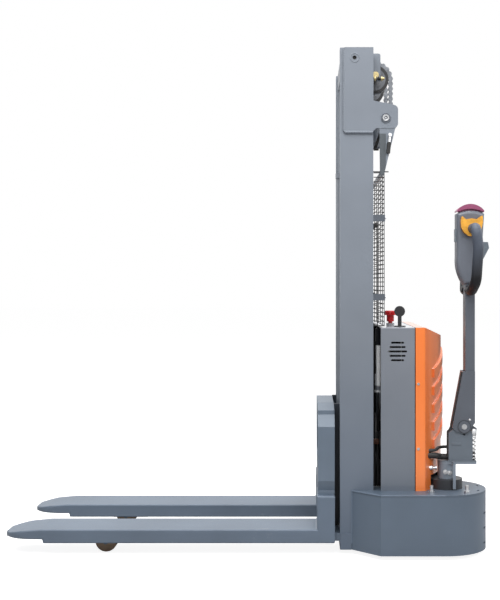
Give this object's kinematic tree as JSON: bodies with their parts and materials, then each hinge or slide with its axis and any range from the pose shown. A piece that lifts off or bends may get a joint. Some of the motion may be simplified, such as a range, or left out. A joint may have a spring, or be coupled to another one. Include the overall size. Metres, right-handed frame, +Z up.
{
  "type": "electric stacker",
  "caption": "Walk-behind electric stacker: lift mast with chain-hoisted fork carriage, support legs on rollers, steered drive wheel, tilting tiller and power housing.",
  "frame": {"origin": "On the floor under the middle of the overall box, forks lowered and tiller upright.", "axes": "+X points to the operator end, forks reach to -X; +Y points away from the drive side; +Z up."},
  "size_m": [1.788, 0.8, 1.856],
  "materials": {
    "mast_paint": "satin grey paint",
    "body_paint": "satin blue-grey paint",
    "fork_paint": "satin grey paint, worn on top",
    "cover_paint": "gloss orange paint",
    "tiller_paint": "dark grey paint",
    "black_paint": "black paint",
    "zinc": "bright zinc plate",
    "chain_steel": "oiled chain steel",
    "roller_steel": "ground roller steel",
    "chrome": "hard chrome",
    "pin_brass": "bright brass",
    "motor_metal": "cast aluminium",
    "load_nylon": "cast nylon",
    "wheel_tyre": "moulded polyurethane",
    "grip_rubber": "soft black rubber",
    "black_plastic": "matt black",
    "yellow_plastic": "yellow-orange",
    "belly_plastic": "dark red",
    "stop_plastic": "signal red",
    "battery_plastic": "moulded case",
    "head_plastic": "dark grey moulding",
    "hose_rubber": "black rubber"
  },
  "bodies": {
    "chassis": {"chassis_skirt": "body_paint", "chassis_deck": "body_paint", "mast_channel_near": "mast_paint", "mast_channel_far": "mast_paint", "mast_head_frame": "mast_paint", "mast_base_beam": "mast_paint", "lift_cylinder": "black_paint", "chain_rear_runs": "chain_steel", "support_leg_near": "body_paint", "support_leg_far": "body_paint", "steering_bearing": "roller_steel", "deck_studs": "zinc", "mesh_guard": "black_paint", "guard_brackets": "mast_paint", "housing_shell": "body_paint", "housing_top_panel": "body_paint", "switch_bases": "black_plastic", "rear_cover": "cover_paint", "cover_screws": "zinc", "batteries": "battery_plastic", "oil_tank": "black_paint", "pump_motor": "motor_metal", "motor_controller": "black_plastic", "hydraulic_hose": "hose_rubber", "control_cables": "hose_rubber"},
    "inner_mast": {"cylinder_rod": "chrome", "inner_channel_near": "mast_paint", "inner_channel_far": "mast_paint", "inner_top_beam": "mast_paint", "inner_bottom_beam": "mast_paint", "pulley_shaft": "pin_brass", "chain_wraps": "chain_steel", "chain_front_runs": "chain_steel"},
    "carriage": {"carriage_frame": "fork_paint", "fork_near": "fork_paint", "fork_far": "fork_paint"},
    "pulleys": {"chain_pulleys": "roller_steel"},
    "top_rollers": {"mast_top_rollers": "roller_steel"},
    "foot_rollers": {"inner_foot_rollers": "roller_steel"},
    "high_rollers": {"carriage_high_rollers": "roller_steel"},
    "low_rollers": {"carriage_low_rollers": "roller_steel"},
    "load_wheel_near": {"load_roller_near": "load_nylon"},
    "load_wheel_far": {"load_roller_far": "load_nylon"},
    "drive_turret": {"steering_head": "black_paint", "tiller_base": "tiller_paint", "tiller_spring": "zinc"},
    "drive_wheel": {"drive_hub": "motor_metal", "drive_tyre": "wheel_tyre"},
    "tiller": {"tiller_arm": "tiller_paint", "pivot_pin": "zinc", "tiller_head": "head_plastic", "grip_loops": "grip_rubber"},
    "throttle": {"throttle_butterflies": "yellow_plastic"},
    "belly": {"belly_button": "belly_plastic"},
    "horn": {"horn_button": "black_plastic"},
    "rocker": {"thumb_rocker": "black_plastic"},
    "estop": {"estop_button": "stop_plastic"},
    "key": {"switch_key": "black_plastic"},
    "caster_swivel": {"caster_fork": "black_paint"},
    "caster_roll": {"caster_wheel": "wheel_tyre"}
  },
  "joints": [
    {"name": "mast_lift", "type": "slide", "parent": "chassis", "child": "inner_mast", "axis": [0, 0, 1], "range_m": [0, 1.2], "deforming": ["chain_rear_runs"]},
    {"name": "carriage_lift", "type": "slide", "parent": "inner_mast", "child": "carriage", "axis": [0, 0, 1], "range_m": [0, 1.2], "deforming": ["chain_front_runs"]},
    {"name": "pulley_turn", "type": "hinge", "parent": "inner_mast", "child": "pulleys", "pos_m": [0.474, 0, 1.77], "axis": [0, 1, 0], "range_deg": [0, 1150]},
    {"name": "top_roller_turn", "type": "hinge", "parent": "chassis", "child": "top_rollers", "pos_m": [0.4, 0, 1.786], "axis": [0, 1, 0], "range_deg": [0, 1650]},
    {"name": "foot_roller_turn", "type": "hinge", "parent": "inner_mast", "child": "foot_rollers", "pos_m": [0.4, 0, 0.104], "axis": [0, 1, 0], "range_deg": [0, 1450]},
    {"name": "high_roller_turn", "type": "hinge", "parent": "carriage", "child": "high_rollers", "pos_m": [0.4, 0, 0.505], "axis": [0, 1, 0], "range_deg": [-1650, 0]},
    {"name": "low_roller_turn", "type": "hinge", "parent": "carriage", "child": "low_rollers", "pos_m": [0.4, 0, 0.14], "axis": [0, 1, 0], "range_deg": [0, 1650]},
    {"name": "load_roll_near", "type": "hinge", "parent": "chassis", "child": "load_wheel_near", "pos_m": [-0.525, -0.225, 0.04], "axis": [0, 1, 0], "continuous": true},
    {"name": "load_roll_far", "type": "hinge", "parent": "chassis", "child": "load_wheel_far", "pos_m": [-0.525, 0.225, 0.04], "axis": [0, 1, 0], "continuous": true},
    {"name": "steer", "type": "hinge", "parent": "chassis", "child": "drive_turret", "pos_m": [0.735, -0.235, 0], "axis": [0, 0, 1], "range_deg": [-60, 60], "deforming": ["control_cables"]},
    {"name": "drive_roll", "type": "hinge", "parent": "drive_turret", "child": "drive_wheel", "pos_m": [0.735, -0.235, 0.1], "axis": [0, 1, 0], "continuous": true},
    {"name": "tiller_tilt", "type": "hinge", "parent": "drive_turret", "child": "tiller", "pos_m": [0.798, -0.235, 0.464], "axis": [0, 1, 0], "range_deg": [0, 85], "stiffness_Nm_per_rad": 30, "springref_deg": -57.3, "deforming": ["tiller_spring"]},
    {"name": "throttle_turn", "type": "hinge", "parent": "tiller", "child": "throttle", "pos_m": [0.826, -0.235, 1.193], "axis": [0, 1, 0], "range_deg": [-30, 30], "stiffness_Nm_per_rad": 0.5},
    {"name": "belly_press", "type": "slide", "parent": "tiller", "child": "belly", "axis": [0, 0, -1], "range_m": [0, 0.004], "stiffness_N_per_m": 1500},
    {"name": "horn_press", "type": "slide", "parent": "tiller", "child": "horn", "axis": [1, 0, 0], "range_m": [0, 0.003], "stiffness_N_per_m": 1000},
    {"name": "rocker_turn", "type": "hinge", "parent": "tiller", "child": "rocker", "pos_m": [0.856, -0.235, 1.115], "axis": [0, 1, 0], "range_deg": [-8, 8], "stiffness_Nm_per_rad": 0.4},
    {"name": "estop_press", "type": "slide", "parent": "chassis", "child": "estop", "axis": [0, 0, -1], "range_m": [0, 0.006]},
    {"name": "key_turn", "type": "hinge", "parent": "chassis", "child": "key", "pos_m": [0.565, -0.21, 0.834], "axis": [0, 0, 1], "range_deg": [0, 90]},
    {"name": "caster_turn", "type": "hinge", "parent": "chassis", "child": "caster_swivel", "pos_m": [0.62, 0.265, 0], "axis": [0, 0, 1], "continuous": true},
    {"name": "caster_spin", "type": "hinge", "parent": "caster_swivel", "child": "caster_roll", "pos_m": [0.575, 0.265, 0.075], "axis": [0, 1, 0], "continuous": true}
  ],
  "couplings": [
    {"joint": "carriage_lift", "follows": "mast_lift", "ratio": 1},
    {"joint": "pulley_turn", "follows": "mast_lift", "rad_per_m": 15.924},
    {"joint": "top_roller_turn", "follows": "mast_lift", "rad_per_m": 23.529},
    {"joint": "foot_roller_turn", "follows": "mast_lift", "rad_per_m": 20.619},
    {"joint": "high_roller_turn", "follows": "mast_lift", "rad_per_m": -23.529},
    {"joint": "low_roller_turn", "follows": "mast_lift", "rad_per_m": 23.529}
  ]
}
